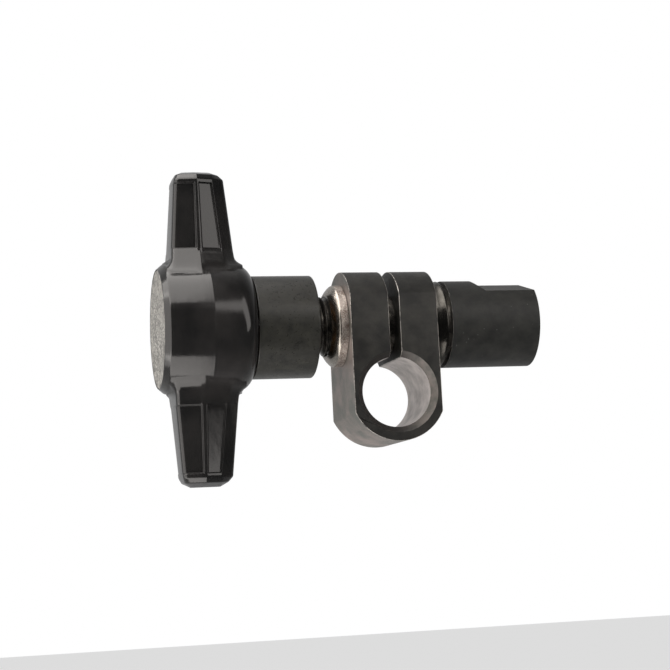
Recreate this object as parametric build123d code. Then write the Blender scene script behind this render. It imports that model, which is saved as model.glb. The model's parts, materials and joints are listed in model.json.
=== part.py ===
from build123d import *
import math
import os

# Swivel bracket: a split clamp for a 16 mm rod, a threaded swivel stud that crosses its two ears,
# a T-handle that screws along the stud to close them, and a tapped end socket that turns with it.
# The origin is the centre of the rod bore.  +Y runs along the rod, +X along the screw axis towards
# the end socket, and +Z is up, from the rod to the screw axis.  Every size is in millimetres.

# --- fits ---
SIDE_GAP = 0.05            # end float between parts that turn against each other
SHAFT_GAP = 0.10           # radial clearance of a hole on the stud
THREAD_GAP = 0.05          # radial clearance of the running thread
NEST_GAP = 0.05            # radial clearance of parts fixed inside each other
OVERCUT = 1.0              # how far a cutter runs past the face it opens
EDGE_BREAK = 0.25          # small bevel on turned and milled edges

# --- split clamp ---
ROD_BORE_R = 8.1
BORE_LEAD_R = 1.35         # radial width of the lead-in chamfer of the rod bore
BORE_LEAD_DEPTH = 1.6
CLAMP_WIDTH = 20.7
CLAMP_DEPTH = 22.4
CLAMP_FOOT_R = 11.4        # round underside, about the rod axis
CLAMP_CROWN_R = 12.7       # round top, about the screw axis
SLOT_WIDTH = 2.6
AXIS_HEIGHT = 16.7         # rod axis to screw axis

# --- swivel stud ---
STUD_R = 6.95
STUD_LEFT = -41.0
STUD_TAIL_R = 6.0
STUD_TAIL_END = 22.0
STUD_TAPER = 0.8           # lead chamfer of the threaded end
STOP_WASHER_R = 7.7
STOP_WASHER_THICK = 1.5
STOP_SCREW_R = 2.5
STOP_SCREW_REACH = 10.0
STOP_HEAD_R = 4.25
STOP_HEAD_HEIGHT = 3.0
STOP_SOCKET_AF = 4.0       # across the flats of the screw's hexagon recess
STOP_SOCKET_DEPTH = 2.0

# --- washers against the clamp ---
CONE_RIM_R = 9.57
CONE_RIM_THICK = 2.0
CONE_TIP_R = 7.55
CONE_LENGTH = 1.65
CONE_BULGE_PLACE = 0.42    # where the domed nose is measured, as a part of its length
CONE_BULGE_DROP = 0.75     # how far it has dropped from the rim there
RING_R = 10.35
RING_NEAR_R = 9.85         # radius of the polished ring beside the clamp
RING_END = 13.4
SHIM_R = 9.5

# --- end socket ---
SOCKET_R = 10.35
SOCKET_START = 14.35
SOCKET_END = 35.85
SOCKET_BEVEL = 0.4
FLAT_DEPTH = 1.6
FLAT_START = 23.7
FLAT_RAMP = 2.2            # length of the run-out ramp of the flat
FLAT_ANGLE = 15.5          # the swivel is parked with its flat turned this far towards -Y
INSERT_R = 5.6
INSERT_BORE_R = 3.97       # tap drill of a 3/8-16 thread
INSERT_START = 24.4
INSERT_END = 35.4
CROSS_PIN_R = 1.5
CROSS_PIN_X = 18.2
CROSS_PIN_BORE_R = 0.7     # the pin is a rolled tube

# --- T-handle: sleeve, threaded bush and their fixings ---
SLEEVE_R = 12.0
SLEEVE_MOUTH = -17.6
HUB_RIGHT = -31.8
MOUTH_R = 9.9
BUSH_R = 9.15
BUSH_FLANGE_LEFT = -22.5
BUSH_RIGHT = -21.0
BUSH_THREAD_LEFT = -36.5
BUSH_CAVITY_R = 8.0
BUSH_LEFT = -50.5
THRUST_RING_LEFT = -21.0
THRUST_RING_RIGHT = -19.15
CIRCLIP_LEFT = -18.9
CIRCLIP_THICK = 0.8
CIRCLIP_R = 10.5
CIRCLIP_BORE_R = 9.35
CIRCLIP_GAP_ANGLE = 24.0
SEAT_X = -46.5             # seat of the lock washer in the hub
LOCK_WASHER_R = 12.0
LOCK_WASHER_THICK = 0.8
LOCK_NUT_AF = 21.6
LOCK_NUT_THICK = 3.2
DRIVE_PIN_R = 0.8
DRIVE_PIN_CIRCLE_R = 10.6
DRIVE_PIN_HALF = 3.0

# --- T-handle: moulded body ---
HANDLE_ANGLE = 2.0         # the handle is parked with its upper wing turned this far towards -Y
HUB_LEFT = -53.4
HUB_BEVEL = 1.0
HUB_FACE_R = 13.9
HUB_PARTING_X = -42.2
HUB_PARTING_R = 15.2
HUB_END_R = 14.9
HUB_DOME = 4.2
CAP_R = 13.6
CAP_THICK = 1.5
CAP_SKIRT_R = 12.85
CAP_SKIRT_WALL = 0.95
CAP_SKIRT_LENGTH = 1.0
NUT_ROOM_R = 12.9
WING_BURIED = 10.0         # how far from the screw axis the wings start, inside the hub
WING_ROOT = 15.0           # where they leave the hub
WING_SHOULDER = 34.2       # where their straight sides end
WING_CROWN = 35.4
WING_TIP = 36.5
PANEL_BOTTOM = 17.9
PANEL_TOP = 33.2
PANEL_DEPTH = 0.7
LEFT_PANEL_SPAN = (-0.4, 0.88)    # from the left corner line towards the ridge, open at the left
RIGHT_PANEL_SPAN = (0.12, 0.96)   # from the ridge towards the panel line

# Each corner line of a wing: X and half thickness in Y at the root and at the shoulder, where the
# straight sides end, and then on the crown and at the tip of its domed end.
WING_CORNERS = {
    "left": ((-50.5, 6.2), (-49.1, 5.0), (-48.6, 3.8), (-46.9, 0.8)),
    "ridge": ((-43.9, 7.1), (-43.9, 5.7), (-43.9, 4.7), (-43.9, 1.3)),
    "panel": ((-38.4, 6.0), (-40.3, 4.7), (-40.1, 3.8), (-40.8, 0.9)),
    "right": ((-35.5, 4.0), (-37.4, 3.3), (-38.4, 2.4), (-40.1, 0.6)),
}

SCREW_AXIS = Axis((0, 0, AXIS_HEIGHT), (1, 0, 0))


def on_axis(shape):
    """Lift a shape made around the X axis up to the screw axis."""
    return Pos(0, 0, AXIS_HEIGHT) * shape


def turned(points):
    """A solid of revolution about the screw axis, from (x, radius) points."""
    face = make_face(Polyline(*points, close=True))
    return on_axis(revolve(face, Axis.X, 360))


def tube(start, end, outer_r, inner_r):
    """A plain turned ring from x = start to x = end."""
    return turned([(start, inner_r), (start, outer_r), (end, outer_r), (end, inner_r)])


def rod(start, end, radius):
    """A plain turned bar from x = start to x = end."""
    return turned([(start, 0), (start, radius), (end, radius), (end, 0)])


def hex_bar(start, end, across_flats):
    """A hexagonal bar along the screw axis."""
    outline = Plane.YZ * RegularPolygon(across_flats / 2, 6, major_radius=False)
    return on_axis(Pos(start, 0, 0) * extrude(outline, end - start))


def clamp_body():
    """Split block: round foot about the rod, round crown about the screw, and a slot to the bore."""
    half_x = CLAMP_WIDTH / 2
    half_y = CLAMP_DEPTH / 2
    top = AXIS_HEIGHT + CLAMP_CROWN_R
    low = -CLAMP_FOOT_R
    upright = Pos(0, 0, top / 2) * Box(CLAMP_WIDTH, CLAMP_DEPTH, top)
    foot_bar = Rot(90, 0, 0) * Cylinder(CLAMP_FOOT_R, CLAMP_DEPTH)
    foot = foot_bar & (Pos(0, 0, low / 2) * Box(CLAMP_WIDTH, CLAMP_DEPTH, -low))
    crown_bar = on_axis(Rot(0, 90, 0) * Cylinder(CLAMP_CROWN_R, CLAMP_WIDTH))
    column_height = AXIS_HEIGHT - low
    column = Pos(0, 0, low + column_height / 2) * Box(CLAMP_WIDTH, CLAMP_DEPTH, column_height)
    body = (upright + foot) & (crown_bar + column)
    outside = [e for e in body.edges() if e.length > EDGE_BREAK]
    body = chamfer(outside, EDGE_BREAK)
    body -= Rot(90, 0, 0) * Cylinder(ROD_BORE_R, CLAMP_DEPTH * 2)
    for side in (-1, 1):
        mouth = side * half_y
        floor = side * (half_y - BORE_LEAD_DEPTH)
        lead_profile = Polyline(
            (0, floor), (ROD_BORE_R, floor), (ROD_BORE_R + BORE_LEAD_R, mouth),
            (ROD_BORE_R + BORE_LEAD_R, mouth + side * OVERCUT), (0, mouth + side * OVERCUT), close=True)
        body -= revolve(make_face(lead_profile), Axis.Y, 360)
    body -= Pos(0, 0, top / 2) * Box(SLOT_WIDTH, CLAMP_DEPTH * 2, top)
    body -= rod(-half_x - OVERCUT, half_x + OVERCUT, STUD_R + SHAFT_GAP)
    return body


def cone_washer():
    """Hardened washer with a domed nose towards the handle and a straight rim."""
    right = -CLAMP_WIDTH / 2 - SIDE_GAP
    rim = right - CONE_RIM_THICK
    tip = rim - CONE_LENGTH
    bore = STUD_R + SHAFT_GAP
    outline = Polyline((tip, CONE_TIP_R), (tip, bore), (right, bore), (right, CONE_RIM_R),
                       (rim, CONE_RIM_R))
    bulge = (rim - CONE_LENGTH * CONE_BULGE_PLACE, CONE_RIM_R - CONE_BULGE_DROP)
    nose = ThreePointArc((rim, CONE_RIM_R), bulge, (tip, CONE_TIP_R))
    return on_axis(revolve(make_face(outline + nose), Axis.X, 360))


def polished_thrust_washer():
    """Polished ring between the clamp and the end socket, a little smaller at the clamp."""
    left = CLAMP_WIDTH / 2 + SIDE_GAP
    bore = STUD_R + SHAFT_GAP
    return turned([
        (left, bore), (left, RING_NEAR_R - EDGE_BREAK), (left + EDGE_BREAK, RING_NEAR_R),
        (RING_END - 2 * EDGE_BREAK, RING_R), (RING_END, RING_R - EDGE_BREAK), (RING_END, bore)])


def end_float_shim():
    """Thin ring in the groove between the polished ring and the end socket."""
    return tube(RING_END + SIDE_GAP, SOCKET_START, SHIM_R, STUD_R + NEST_GAP)


def stud():
    """Threaded stud with a turned-down tail and a tapped hole for its stop screw."""
    left = STUD_LEFT
    shoulder = SOCKET_START
    return turned([
        (left, STOP_SCREW_R), (left, STUD_R - STUD_TAPER), (left + STUD_TAPER, STUD_R),
        (shoulder, STUD_R), (shoulder, STUD_TAIL_R), (STUD_TAIL_END, STUD_TAIL_R),
        (STUD_TAIL_END, 0), (left + STOP_SCREW_REACH, 0), (left + STOP_SCREW_REACH, STOP_SCREW_R),
    ]) - cross_hole(CROSS_PIN_R + NEST_GAP)


def cross_hole(radius):
    """Radial hole through the end socket, square to its flat."""
    length = 2 * SOCKET_R
    bar = on_axis(Pos(CROSS_PIN_X, 0, 0) * Cylinder(radius, length * 2))
    return bar.rotate(SCREW_AXIS, FLAT_ANGLE)


def cross_pin():
    """Rolled pin that locks the stud in the end socket."""
    half = SOCKET_R - EDGE_BREAK
    shell = Cylinder(CROSS_PIN_R, 2 * half) - Cylinder(CROSS_PIN_BORE_R, 2 * half)
    return on_axis(Pos(CROSS_PIN_X, 0, 0) * shell).rotate(SCREW_AXIS, FLAT_ANGLE)


def stop_washer():
    """Washer on the end of the stud that keeps the handle from coming off."""
    return tube(STUD_LEFT - STOP_WASHER_THICK, STUD_LEFT, STOP_WASHER_R, STOP_SCREW_R + NEST_GAP)


def stop_screw():
    """Socket-head screw that holds the stop washer."""
    under = STUD_LEFT - STOP_WASHER_THICK
    head = rod(under - STOP_HEAD_HEIGHT, under, STOP_HEAD_R)
    shank = rod(under, STUD_LEFT + STOP_SCREW_REACH, STOP_SCREW_R)
    end = under - STOP_HEAD_HEIGHT
    return head + shank - hex_bar(end, end + STOP_SOCKET_DEPTH, STOP_SOCKET_AF)


def end_socket():
    """Round socket with one milled flat that runs out in a ramp, bored from both ends."""
    body = turned([
        (SOCKET_START, 0), (SOCKET_START, SOCKET_R - EDGE_BREAK),
        (SOCKET_START + EDGE_BREAK, SOCKET_R), (SOCKET_END - SOCKET_BEVEL, SOCKET_R),
        (SOCKET_END, SOCKET_R - SOCKET_BEVEL), (SOCKET_END, 0)])
    floor = SOCKET_R - FLAT_DEPTH
    ramp_start = FLAT_START - FLAT_RAMP
    cut = make_face(Plane.XZ * Polyline(
        (ramp_start, SOCKET_R), (FLAT_START, floor), (SOCKET_END + OVERCUT, floor),
        (SOCKET_END + OVERCUT, SOCKET_R + OVERCUT), (ramp_start, SOCKET_R + OVERCUT), close=True))
    cutter = extrude(cut, SOCKET_R, both=True)
    body -= on_axis(cutter).rotate(SCREW_AXIS, FLAT_ANGLE)
    body -= rod(SOCKET_START, STUD_TAIL_END + NEST_GAP, STUD_TAIL_R + NEST_GAP)
    body -= rod(INSERT_START, SOCKET_END, INSERT_R)
    return body - cross_hole(CROSS_PIN_R + NEST_GAP)


def thread_insert():
    """Steel insert tapped 3/8-16 in the free end of the socket."""
    return tube(INSERT_START, INSERT_END, INSERT_R, INSERT_BORE_R)


def knob_sleeve():
    """Turned sleeve with a stepped bore: mouth, bush flange seat and bush shank."""
    groove = (CIRCLIP_LEFT, CIRCLIP_LEFT + CIRCLIP_THICK)
    shank_r = BUSH_R + NEST_GAP
    body = turned([
        (HUB_RIGHT, shank_r), (HUB_RIGHT, SLEEVE_R), (SLEEVE_MOUTH - EDGE_BREAK, SLEEVE_R),
        (SLEEVE_MOUTH, SLEEVE_R - EDGE_BREAK), (SLEEVE_MOUTH, MOUTH_R),
        (groove[1], MOUTH_R), (groove[1], CIRCLIP_R), (groove[0], CIRCLIP_R),
        (groove[0], MOUTH_R), (BUSH_FLANGE_LEFT, MOUTH_R), (BUSH_FLANGE_LEFT, shank_r)])
    return body - drive_pins()


def threaded_bush():
    """Bush that carries the running thread, with a flange and an open cavity behind."""
    bore = STUD_R + THREAD_GAP
    return turned([
        (BUSH_RIGHT, bore), (BUSH_RIGHT, MOUTH_R - NEST_GAP), (BUSH_FLANGE_LEFT, MOUTH_R - NEST_GAP),
        (BUSH_FLANGE_LEFT, BUSH_R), (BUSH_LEFT, BUSH_R), (BUSH_LEFT, BUSH_CAVITY_R),
        (BUSH_THREAD_LEFT, BUSH_CAVITY_R), (BUSH_THREAD_LEFT, bore)])


def thrust_ring():
    """Ring in the sleeve's mouth that presses on the cone washer without turning on it."""
    return tube(THRUST_RING_LEFT + SIDE_GAP, THRUST_RING_RIGHT, MOUTH_R - SHAFT_GAP,
                STUD_R + SHAFT_GAP)


def mouth_circlip():
    """Open spring ring that keeps the thrust ring in the sleeve."""
    ring = tube(CIRCLIP_LEFT, CIRCLIP_LEFT + CIRCLIP_THICK, CIRCLIP_R, CIRCLIP_BORE_R)
    gap = 2 * CIRCLIP_R * math.tan(math.radians(CIRCLIP_GAP_ANGLE / 2))
    notch = Pos(CIRCLIP_LEFT, 0, -CIRCLIP_R) * Box(4 * CIRCLIP_THICK, gap, 2 * CIRCLIP_R)
    return ring - on_axis(notch)


def lock_washer():
    """Plain washer under the lock nut."""
    return tube(SEAT_X - LOCK_WASHER_THICK, SEAT_X, LOCK_WASHER_R, BUSH_R + NEST_GAP)


def lock_nut():
    """Thin nut that draws the bush and the sleeve against the hub."""
    right = SEAT_X - LOCK_WASHER_THICK
    nut = hex_bar(right - LOCK_NUT_THICK, right, LOCK_NUT_AF)
    return nut - rod(right - 2 * LOCK_NUT_THICK, right + OVERCUT, BUSH_R + NEST_GAP)


def drive_pins():
    """Two small pins that key the sleeve to the moulded hub."""
    pins = []
    for side in (-1, 1):
        pin = Rot(0, 90, 0) * Cylinder(DRIVE_PIN_R, 2 * DRIVE_PIN_HALF)
        pin = on_axis(Pos(HUB_RIGHT, side * DRIVE_PIN_CIRCLE_R, 0) * pin)
        pins.append(pin.rotate(SCREW_AXIS, HANDLE_ANGLE))
    return Compound(children=pins)


def wing_corners(height):
    """The corners of a wing's straight part on one face, (x, half thickness), at one height."""
    part = (height - WING_ROOT) / (WING_SHOULDER - WING_ROOT)
    corners = {}
    for name, (root, shoulder, _, _) in WING_CORNERS.items():
        corners[name] = tuple(a + (b - a) * part for a, b in zip(root, shoulder))
    return corners


def wing_section(height, corners):
    """Eight-sided section of a wing, square to its length, from its four corners on one face."""
    face = list(corners.values())
    outline = face + [(x, -half) for x, half in reversed(face)]
    return Pos(0, 0, height) * make_face(Polyline(*outline, close=True))


def panel_pocket(first, second, start, end, side):
    """Cutter for one shallow panel between two corner lines of a wing."""
    sections = []
    for height in (PANEL_BOTTOM, PANEL_TOP):
        corners = wing_corners(height)
        a = Vector(*corners[first])
        b = Vector(*corners[second])
        p = a + (b - a) * start
        q = a + (b - a) * end
        outline = [(p.X, p.Y - PANEL_DEPTH), (q.X, q.Y - PANEL_DEPTH), (q.X, q.Y + OVERCUT),
                   (p.X, p.Y + OVERCUT)]
        outline = [(x, side * y) for x, y in outline]
        sections.append(Pos(0, 0, height) * make_face(Polyline(*outline, close=True)))
    return loft(sections, ruled=True)


def wing():
    """One wing of the T-handle, pointing up from the screw axis."""
    crown = {name: points[2] for name, points in WING_CORNERS.items()}
    tip = {name: points[3] for name, points in WING_CORNERS.items()}
    sections = [wing_section(WING_BURIED, wing_corners(WING_BURIED)),
                wing_section(WING_SHOULDER, wing_corners(WING_SHOULDER)),
                wing_section(WING_CROWN, crown), wing_section(WING_TIP, tip)]
    body = loft(sections[:2], ruled=True)
    for below, above in zip(sections[1:], sections[2:]):
        body += loft([below, above], ruled=True)
    for side in (-1, 1):
        body -= panel_pocket("left", "ridge", *LEFT_PANEL_SPAN, side)
        body -= panel_pocket("ridge", "panel", *RIGHT_PANEL_SPAN, side)
    return body


def knob_body():
    """Moulded T-handle: hub drafted both ways from its parting line, and two wings."""
    hub = turned([
        (HUB_LEFT, 0), (HUB_LEFT, HUB_FACE_R), (HUB_LEFT + HUB_BEVEL, HUB_END_R),
        (HUB_PARTING_X, HUB_PARTING_R), (HUB_RIGHT, HUB_END_R), (HUB_RIGHT, 0)])
    rim = hub.edges().filter_by(GeomType.CIRCLE).sort_by(Axis.X)[-1]
    hub = fillet(rim, HUB_DOME)
    upper = on_axis(wing())
    hub = hub + upper + upper.rotate(SCREW_AXIS, 180)
    hub -= rod(HUB_LEFT, HUB_LEFT + CAP_THICK, CAP_R + NEST_GAP)
    hub -= rod(HUB_LEFT, SEAT_X, NUT_ROOM_R)
    hub -= rod(SEAT_X, HUB_RIGHT, BUSH_R + NEST_GAP)
    return hub.rotate(SCREW_AXIS, HANDLE_ANGLE) - drive_pins()


def knob_end_cap():
    """Disc with a short skirt that closes the hub over the lock nut."""
    inner = HUB_LEFT + CAP_THICK
    disc = rod(HUB_LEFT, inner, CAP_R)
    skirt = tube(inner, inner + CAP_SKIRT_LENGTH, CAP_SKIRT_R, CAP_SKIRT_R - CAP_SKIRT_WALL)
    return disc + skirt


PARTS = {
    "clamp_body": clamp_body,
    "cone_washer": cone_washer,
    "polished_thrust_washer": polished_thrust_washer,
    "end_float_shim": end_float_shim,
    "swivel_stud": stud,
    "stud_cross_pin": cross_pin,
    "stud_stop_washer": stop_washer,
    "stud_stop_screw": stop_screw,
    "end_socket": end_socket,
    "socket_thread_insert": thread_insert,
    "knob_body": knob_body,
    "knob_end_cap": knob_end_cap,
    "knob_sleeve": knob_sleeve,
    "knob_threaded_bush": threaded_bush,
    "knob_lock_nut": lock_nut,
    "knob_lock_washer": lock_washer,
    "knob_drive_pins": drive_pins,
    "sleeve_thrust_ring": thrust_ring,
    "sleeve_circlip": mouth_circlip,
}

os.makedirs("parts", exist_ok=True)
for node, build in PARTS.items():
    shape = build()
    shape.label = node
    export_step(shape, f"parts/{node}.step")
    print(node, round(shape.volume, 1))
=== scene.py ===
import json
import math

import bmesh
import bpy
from mathutils import Matrix, Quaternion, Vector

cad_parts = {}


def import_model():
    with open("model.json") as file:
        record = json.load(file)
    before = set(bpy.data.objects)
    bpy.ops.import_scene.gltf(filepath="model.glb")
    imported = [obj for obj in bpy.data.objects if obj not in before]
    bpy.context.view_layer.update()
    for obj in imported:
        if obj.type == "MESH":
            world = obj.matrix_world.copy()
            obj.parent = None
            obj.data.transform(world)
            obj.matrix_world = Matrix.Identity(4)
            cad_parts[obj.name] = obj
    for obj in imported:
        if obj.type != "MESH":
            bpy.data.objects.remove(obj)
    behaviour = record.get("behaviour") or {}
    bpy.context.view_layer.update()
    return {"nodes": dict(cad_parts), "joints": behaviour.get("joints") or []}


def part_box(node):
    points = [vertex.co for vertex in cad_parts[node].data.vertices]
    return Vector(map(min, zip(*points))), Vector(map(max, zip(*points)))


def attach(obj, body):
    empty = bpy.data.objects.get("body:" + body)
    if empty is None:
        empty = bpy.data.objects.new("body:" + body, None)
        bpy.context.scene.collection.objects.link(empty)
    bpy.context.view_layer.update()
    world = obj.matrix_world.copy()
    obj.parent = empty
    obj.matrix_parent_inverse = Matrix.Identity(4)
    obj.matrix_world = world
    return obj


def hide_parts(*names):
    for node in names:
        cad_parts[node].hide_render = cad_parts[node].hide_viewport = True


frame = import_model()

# Umbrella swivel bracket.  All lengths are metres, and MM turns millimetres into them.
# X runs along the screw axis, Y along the rod bore, and Z is up.
MM = 0.001
NODES = frame["nodes"]
SWIVEL = next(j for j in frame["joints"] if j["name"] == "socket_swivel")
AXIS_Z = SWIVEL["pos_m"][2]
AXIS_POINT = Vector((0, 0, AXIS_Z))


def span(node):
    """Left end, right end and radius of a turned CAD node on the screw axis."""
    low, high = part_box(node)
    return low.x, high.x, (high.y - low.y) / 2


# ---------------------------------------------------------------- mesh helpers

def finish_piece(name, mesh, body, slot, materials, *replaced):
    """Make a named object from a mesh, ride it on its body and let it stand for CAD nodes."""
    piece = bpy.data.objects.new(name, mesh)
    bpy.context.scene.collection.objects.link(piece)
    for material in materials:
        mesh.materials.append(material)
    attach(piece, body)
    if replaced:
        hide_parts(*replaced)
    return piece


def mesh_from(bm, name):
    """Turn a bmesh into a smooth-shaded mesh with outward faces."""
    bmesh.ops.recalc_face_normals(bm, faces=bm.faces)
    for face in bm.faces:
        face.smooth = True
    mesh = bpy.data.meshes.new(name)
    bm.to_mesh(mesh)
    bm.free()
    return mesh


def blend_corner(before, corner, after, cut, steps):
    """Points that round a corner: a quadratic curve that starts and ends cut away from it."""
    into = before - corner
    out = after - corner
    start = corner + into * min(0.45, cut / into.length)
    end = corner + out * min(0.45, cut / out.length)
    points = []
    for i in range(steps + 1):
        t = i / steps
        points.append(start * (1 - t) ** 2 + corner * 2 * t * (1 - t) + end * t ** 2)
    return points


def round_loop(corners, steps=3):
    """Round the (x, r, cut) corners of a closed outline.  A cut of 0 leaves a corner sharp."""
    points = [Vector(c[:2]) for c in corners]
    rounded = []
    for i, point in enumerate(points):
        before = points[i - 1]
        after = points[(i + 1) % len(points)]
        cut = corners[i][2]
        if cut:
            rounded += blend_corner(before, point, after, cut, steps)
        else:
            rounded.append(point)
    return rounded


def add_lathe(bm, outline, segments=128):
    """Revolve a closed (x, radius) outline about the screw axis.  A radius of 0 makes a pole."""
    rings = []
    for x, radius in outline:
        ring = []
        for j in range(segments if radius else 1):
            turn = 2 * math.pi * j / segments
            ring.append(bm.verts.new((x, radius * math.sin(turn), AXIS_Z + radius * math.cos(turn))))
        rings.append(ring)
    for ring, after in zip(rings, rings[1:] + rings[:1]):
        for j in range(segments):
            k = (j + 1) % segments
            quad = (ring[j % len(ring)], ring[k % len(ring)],
                    after[k % len(after)], after[j % len(after)])
            corners = list(dict.fromkeys(quad))
            if len(corners) > 2:
                bm.faces.new(corners)


def lathe_mesh(name, corners, segments=128):
    """A smooth turned mesh from (x, r, cut) corners."""
    bm = bmesh.new()
    add_lathe(bm, round_loop(corners), segments)
    return mesh_from(bm, name)


def weighted(piece):
    """Keep flats flat beside small rounded edges."""
    modifier = piece.modifiers.new("weighted normals", "WEIGHTED_NORMAL")
    modifier.keep_sharp = True


def temp_object(bm, *materials):
    """A short-lived object for boolean work."""
    blank = bpy.data.objects.new("blank", mesh_from(bm, "blank"))
    bpy.context.scene.collection.objects.link(blank)
    for material in materials:
        blank.data.materials.append(material)
    return blank


def boolean(base, tool, operation):
    """Apply one boolean to base and throw the tool away."""
    modifier = base.modifiers.new("cut", "BOOLEAN")
    modifier.operation = operation
    modifier.solver = "EXACT"
    modifier.object = tool
    bpy.context.view_layer.update()
    depsgraph = bpy.context.evaluated_depsgraph_get()
    mesh = bpy.data.meshes.new_from_object(base.evaluated_get(depsgraph))
    base.modifiers.clear()
    base.data = mesh
    bpy.data.objects.remove(tool)


def take_mesh(base):
    """The smooth-shaded mesh of a short-lived object, which is thrown away."""
    mesh = base.data
    bpy.data.objects.remove(base)
    mesh.materials.clear()
    for polygon in mesh.polygons:
        polygon.use_smooth = True
    return mesh


def prism(outline, place, depth):
    """A straight prism: outline points (a, b) put in space by place(a, b, c) for c = -depth and depth."""
    bm = bmesh.new()
    near = [bm.verts.new(place(a, b, -depth)) for a, b in outline]
    far = [bm.verts.new(place(a, b, depth)) for a, b in outline]
    bm.faces.new(near)
    bm.faces.new(list(reversed(far)))
    for i in range(len(outline)):
        k = (i + 1) % len(outline)
        bm.faces.new((near[i], near[k], far[k], far[i]))
    return bm


def arc(centre, radius, start, end, steps):
    """Points along an arc, with angles in degrees from the first axis."""
    points = []
    for i in range(steps + 1):
        turn = math.radians(start + (end - start) * i / steps)
        points.append((centre[0] + radius * math.cos(turn), centre[1] + radius * math.sin(turn)))
    return points


def x_bar(start, end, radius, segments=96):
    """A plain bar along the screw axis."""
    outline = arc((0, 0), radius, 0, 360 - 360 / segments, segments - 1)
    return prism(outline, lambda a, b, c: ((start + end) / 2 + c, a, AXIS_Z + b), (end - start) / 2)


def y_bar(outline, segments):
    """A turned bar along the rod axis from (y, radius) points."""
    bm = bmesh.new()
    rings = []
    for y, radius in outline:
        ring = []
        for j in range(segments):
            turn = 2 * math.pi * j / segments
            ring.append(bm.verts.new((radius * math.sin(turn), y, radius * math.cos(turn))))
        rings.append(ring)
    for ring, after in zip(rings, rings[1:]):
        for j in range(segments):
            k = (j + 1) % segments
            bm.faces.new((ring[j], ring[k], after[k], after[j]))
    bm.faces.new(rings[0])
    bm.faces.new(list(reversed(rings[-1])))
    return bm


def bevelled(piece, width, angle):
    """Round the edges sharper than an angle and give the new faces the piece's second material."""
    modifier = piece.modifiers.new("edges", "BEVEL")
    modifier.width = width
    modifier.segments = 2
    modifier.limit_method = "ANGLE"
    modifier.angle_limit = math.radians(angle)
    modifier.material = 1
    modifier.use_clamp_overlap = True
    modifier.harden_normals = True


# ---------------------------------------------------------------- material helpers

class Graph:
    """A node material on one Principled shader, in object coordinates."""

    def __init__(self, name, metallic=0.0, specular=0.5):
        self.material = bpy.data.materials.new(name)
        self.material.use_nodes = True
        self.tree = self.material.node_tree
        self.shader = self.tree.nodes["Principled BSDF"]
        self.set("Metallic", metallic)
        self.set("Specular IOR Level", specular)
        self.place = self.add("ShaderNodeTexCoord").outputs["Object"]

    def set(self, socket, value):
        self.shader.inputs[socket].default_value = value

    def add(self, kind, **settings):
        node = self.tree.nodes.new(kind)
        for key, value in settings.items():
            if key in node.inputs:
                node.inputs[key].default_value = value
            else:
                setattr(node, key, value)
        return node

    def link(self, source, target):
        self.tree.links.new(source, target)

    def stretched(self, x=1.0, y=1.0, z=1.0):
        """Object coordinates scaled differently along each axis."""
        mapping = self.add("ShaderNodeMapping", Scale=(x, y, z))
        self.link(self.place, mapping.inputs["Vector"])
        return mapping.outputs["Vector"]

    def noise(self, size, detail=3.0, roughness=0.55, place=None):
        """Noise whose blotches are about size across, 0 to 1."""
        node = self.add("ShaderNodeTexNoise", Scale=1 / size, Detail=detail, Roughness=roughness)
        self.link(place or self.place, node.inputs["Vector"])
        return node.outputs["Fac"]

    def cells(self, size, place=None):
        """Distance to the nearest cell centre, for pits and stipple."""
        node = self.add("ShaderNodeTexVoronoi", Scale=1 / size)
        self.link(place or self.place, node.inputs["Vector"])
        return node.outputs["Distance"]

    def remap(self, value, low_in, high_in, low_out, high_out):
        node = self.add("ShaderNodeMapRange", clamp=True)
        for index, number in enumerate((low_in, high_in, low_out, high_out), start=1):
            node.inputs[index].default_value = number
        self.link(value, node.inputs[0])
        return node.outputs[0]

    def colours(self, factor, dark, light):
        """Mix two colours by a factor."""
        node = self.add("ShaderNodeMix", data_type="RGBA")
        self.link(factor, node.inputs[0])
        node.inputs[6].default_value = (*dark, 1)
        node.inputs[7].default_value = (*light, 1)
        return node.outputs[2]

    def mix_inputs(self, factor, first, second):
        """Mix two colour sockets by a factor."""
        node = self.add("ShaderNodeMix", data_type="RGBA")
        self.link(factor, node.inputs[0])
        self.link(first, node.inputs[6])
        self.link(second, node.inputs[7])
        return node.outputs[2]

    def bump(self, height, depth, before=None):
        """A bump of the given depth in metres, on top of an earlier one."""
        node = self.add("ShaderNodeBump", Strength=1.0, Distance=depth)
        self.link(height, node.inputs["Height"])
        if before:
            self.link(before, node.inputs["Normal"])
        return node.outputs["Normal"]

    def out(self, colour=None, roughness=None, normal=None, metallic=None):
        wires = {"Base Color": colour, "Roughness": roughness, "Normal": normal, "Metallic": metallic}
        for socket, source in wires.items():
            if source:
                self.link(source, self.shader.inputs[socket])
        return self.material


def gloss_plastic():
    """Glossy black moulding: faint orange peel, fine handling scratches and a little dust haze."""
    g = Graph("gloss_black_plastic", specular=0.62)
    haze = g.noise(9 * MM, 4)
    scratch = g.noise(0.25 * MM, 2, 0.7, g.stretched(0.06, 1, 1))
    peel = g.noise(1.6 * MM, 2)
    colour = g.colours(g.remap(haze, 0.35, 0.7, 0, 1), (0.0085, 0.0085, 0.0085), (0.017, 0.016, 0.0155))
    rough = g.remap(haze, 0.3, 0.75, 0.09, 0.20)
    normal = g.bump(peel, 0.012 * MM)
    normal = g.bump(scratch, 0.003 * MM, normal)
    return g.out(colour, rough, normal)


def matte_panel():
    """Finely textured black in the recessed panels of the wings."""
    g = Graph("matte_black_panel", specular=0.6)
    blotch = g.noise(5 * MM, 4)
    grain = g.noise(0.12 * MM, 2, 0.7)
    colour = g.colours(g.remap(blotch, 0.35, 0.7, 0, 1), (0.012, 0.012, 0.0115), (0.022, 0.022, 0.020))
    rough = g.remap(grain, 0.3, 0.7, 0.36, 0.48)
    return g.out(colour, rough, g.bump(grain, 0.01 * MM))


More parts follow.
